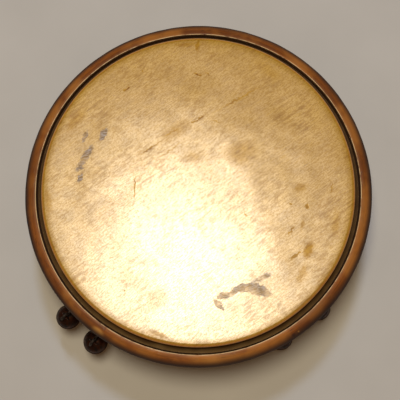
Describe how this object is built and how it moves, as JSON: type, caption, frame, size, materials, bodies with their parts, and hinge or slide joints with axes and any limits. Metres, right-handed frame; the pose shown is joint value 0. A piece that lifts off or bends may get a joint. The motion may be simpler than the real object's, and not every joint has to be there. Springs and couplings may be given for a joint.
{
  "type": "tambourine",
  "caption": "Deep-framed tambourine with a skin head, a rounded wooden hoop, jingles in slots round the shell, and small pellet bells hung outside it.",
  "frame": {"origin": "centre of the circle that the shell's lower edge stands on", "axes": "+Z along the drum's axis, up through the head; the middle slot of jingles is towards +Y"},
  "size_m": [0.286, 0.286, 0.086],
  "materials": {
    "shell_wood": "old shellac on bent ash",
    "hoop_wood": "worn varnish on bent beech",
    "band_wood": "bare bent ash",
    "calfskin": "aged translucent calfskin, rubbed smooth",
    "aged_brass": "dull, tarnished",
    "dark_bronze": "black-brown patina",
    "iron_wire": "blackened iron"
  },
  "bodies": {
    "frame": {"shell": "shell_wood", "outer_hoop": "hoop_wood", "flesh_hoop": "band_wood", "head_skin": "calfskin", "skin_tuck": "calfskin", "lower_inner_band": "band_wood", "upper_inner_band": "band_wood", "hoop_nails": "aged_brass", "jingle_pins": "iron_wire", "bell_eyes": "iron_wire", "eye_roves": "aged_brass"},
    "lower_jingle_1": {"jingle_lower_1": "aged_brass"},
    "upper_jingle_1": {"jingle_upper_1": "aged_brass"},
    "lower_jingle_2": {"jingle_lower_2": "aged_brass"},
    "upper_jingle_2": {"jingle_upper_2": "aged_brass"},
    "lower_jingle_3": {"jingle_lower_3": "aged_brass"},
    "upper_jingle_3": {"jingle_upper_3": "aged_brass"},
    "lower_jingle_4": {"jingle_lower_4": "aged_brass"},
    "upper_jingle_4": {"jingle_upper_4": "aged_brass"},
    "lower_jingle_5": {"jingle_lower_5": "aged_brass"},
    "upper_jingle_5": {"jingle_upper_5": "aged_brass"},
    "bell_1": {"bell_top_1": "dark_bronze", "bell_bottom_1": "dark_bronze"},
    "pellet_1": {"bell_pellet_1": "iron_wire"},
    "bell_2": {"bell_top_2": "dark_bronze", "bell_bottom_2": "dark_bronze"},
    "pellet_2": {"bell_pellet_2": "iron_wire"},
    "bell_3": {"bell_top_3": "dark_bronze", "bell_bottom_3": "dark_bronze"},
    "pellet_3": {"bell_pellet_3": "iron_wire"},
    "bell_4": {"bell_top_4": "dark_bronze", "bell_bottom_4": "dark_bronze"},
    "pellet_4": {"bell_pellet_4": "iron_wire"},
    "bell_5": {"bell_top_5": "dark_bronze", "bell_bottom_5": "dark_bronze"},
    "pellet_5": {"bell_pellet_5": "iron_wire"},
    "bell_6": {"bell_top_6": "dark_bronze", "bell_bottom_6": "dark_bronze"},
    "pellet_6": {"bell_pellet_6": "iron_wire"},
    "bell_7": {"bell_top_7": "dark_bronze", "bell_bottom_7": "dark_bronze"},
    "pellet_7": {"bell_pellet_7": "iron_wire"},
    "bell_8": {"bell_top_8": "dark_bronze", "bell_bottom_8": "dark_bronze"},
    "pellet_8": {"bell_pellet_8": "iron_wire"}
  },
  "joints": [
    {"name": "lower_jingle_1_slide", "type": "slide", "parent": "frame", "child": "lower_jingle_1", "axis": [0, 0, 1], "range_m": [0, 0.003]},
    {"name": "upper_jingle_1_slide", "type": "slide", "parent": "lower_jingle_1", "child": "upper_jingle_1", "axis": [0, 0, 1], "range_m": [0, 0.003]},
    {"name": "lower_jingle_2_slide", "type": "slide", "parent": "frame", "child": "lower_jingle_2", "axis": [0, 0, 1], "range_m": [0, 0.003]},
    {"name": "upper_jingle_2_slide", "type": "slide", "parent": "lower_jingle_2", "child": "upper_jingle_2", "axis": [0, 0, 1], "range_m": [0, 0.003]},
    {"name": "lower_jingle_3_slide", "type": "slide", "parent": "frame", "child": "lower_jingle_3", "axis": [0, 0, 1], "range_m": [0, 0.003]},
    {"name": "upper_jingle_3_slide", "type": "slide", "parent": "lower_jingle_3", "child": "upper_jingle_3", "axis": [0, 0, 1], "range_m": [0, 0.003]},
    {"name": "lower_jingle_4_slide", "type": "slide", "parent": "frame", "child": "lower_jingle_4", "axis": [0, 0, 1], "range_m": [0, 0.003]},
    {"name": "upper_jingle_4_slide", "type": "slide", "parent": "lower_jingle_4", "child": "upper_jingle_4", "axis": [0, 0, 1], "range_m": [0, 0.003]},
    {"name": "lower_jingle_5_slide", "type": "slide", "parent": "frame", "child": "lower_jingle_5", "axis": [0, 0, 1], "range_m": [0, 0.003]},
    {"name": "upper_jingle_5_slide", "type": "slide", "parent": "lower_jingle_5", "child": "upper_jingle_5", "axis": [0, 0, 1], "range_m": [0, 0.003]},
    {"name": "bell_1_swing", "type": "hinge", "parent": "frame", "child": "bell_1", "pos_m": [0.10093, 0.09412, 0.0495], "axis": [0.682, -0.7314, 0], "range_deg": [-3, 80]},
    {"name": "pellet_1_roll", "type": "hinge", "parent": "bell_1", "child": "pellet_1", "pos_m": [0.10093, 0.09412, 0.0335], "axis": [0.682, -0.7314, 0], "range_deg": [-75, 75]},
    {"name": "bell_2_swing", "type": "hinge", "parent": "frame", "child": "bell_2", "pos_m": [0.07516, 0.11574, 0.0495], "axis": [0.8387, -0.5446, 0], "range_deg": [-3, 80]},
    {"name": "pellet_2_roll", "type": "hinge", "parent": "bell_2", "child": "pellet_2", "pos_m": [0.07516, 0.11574, 0.0335], "axis": [0.8387, -0.5446, 0], "range_deg": [-75, 75]},
    {"name": "bell_3_swing", "type": "hinge", "parent": "frame", "child": "bell_3", "pos_m": [-0.07516, 0.11574, 0.0495], "axis": [0.8387, 0.5446, 0], "range_deg": [-3, 80]},
    {"name": "pellet_3_roll", "type": "hinge", "parent": "bell_3", "child": "pellet_3", "pos_m": [-0.07516, 0.11574, 0.0335], "axis": [0.8387, 0.5446, 0], "range_deg": [-75, 75]},
    {"name": "bell_4_swing", "type": "hinge", "parent": "frame", "child": "bell_4", "pos_m": [-0.10093, 0.09412, 0.0495], "axis": [0.682, 0.7314, 0], "range_deg": [-3, 80]},
    {"name": "pellet_4_roll", "type": "hinge", "parent": "bell_4", "child": "pellet_4", "pos_m": [-0.10093, 0.09412, 0.0335], "axis": [0.682, 0.7314, 0], "range_deg": [-75, 75]},
    {"name": "bell_5_swing", "type": "hinge", "parent": "frame", "child": "bell_5", "pos_m": [-0.11059, -0.10134, 0.0495], "axis": [-0.6756, 0.7373, 0], "range_deg": [-44, 80]},
    {"name": "pellet_5_roll", "type": "hinge", "parent": "bell_5", "child": "pellet_5", "pos_m": [-0.11059, -0.10134, 0.0335], "axis": [-0.6756, 0.7373, 0], "range_deg": [-75, 75]},
    {"name": "bell_6_swing", "type": "hinge", "parent": "frame", "child": "bell_6", "pos_m": [-0.08711, -0.12212, 0.0495], "axis": [-0.8141, 0.5807, 0], "range_deg": [-44, 80]},
    {"name": "pellet_6_roll", "type": "hinge", "parent": "bell_6", "child": "pellet_6", "pos_m": [-0.08711, -0.12212, 0.0335], "axis": [-0.8141, 0.5807, 0], "range_deg": [-75, 75]},
    {"name": "bell_7_swing", "type": "hinge", "parent": "frame", "child": "bell_7", "pos_m": [0.0686, -0.11882, 0.0495], "axis": [-0.866, -0.5, 0], "range_deg": [-1, 80]},
    {"name": "pellet_7_roll", "type": "hinge", "parent": "bell_7", "child": "pellet_7", "pos_m": [0.0686, -0.11882, 0.0335], "axis": [-0.866, -0.5, 0], "range_deg": [-75, 75]},
    {"name": "bell_8_swing", "type": "hinge", "parent": "frame", "child": "bell_8", "pos_m": [0.10093, -0.09412, 0.0495], "axis": [-0.682, -0.7314, 0], "range_deg": [-3, 80]},
    {"name": "pellet_8_roll", "type": "hinge", "parent": "bell_8", "child": "pellet_8", "pos_m": [0.10093, -0.09412, 0.0335], "axis": [-0.682, -0.7314, 0], "range_deg": [-75, 75]}
  ]
}
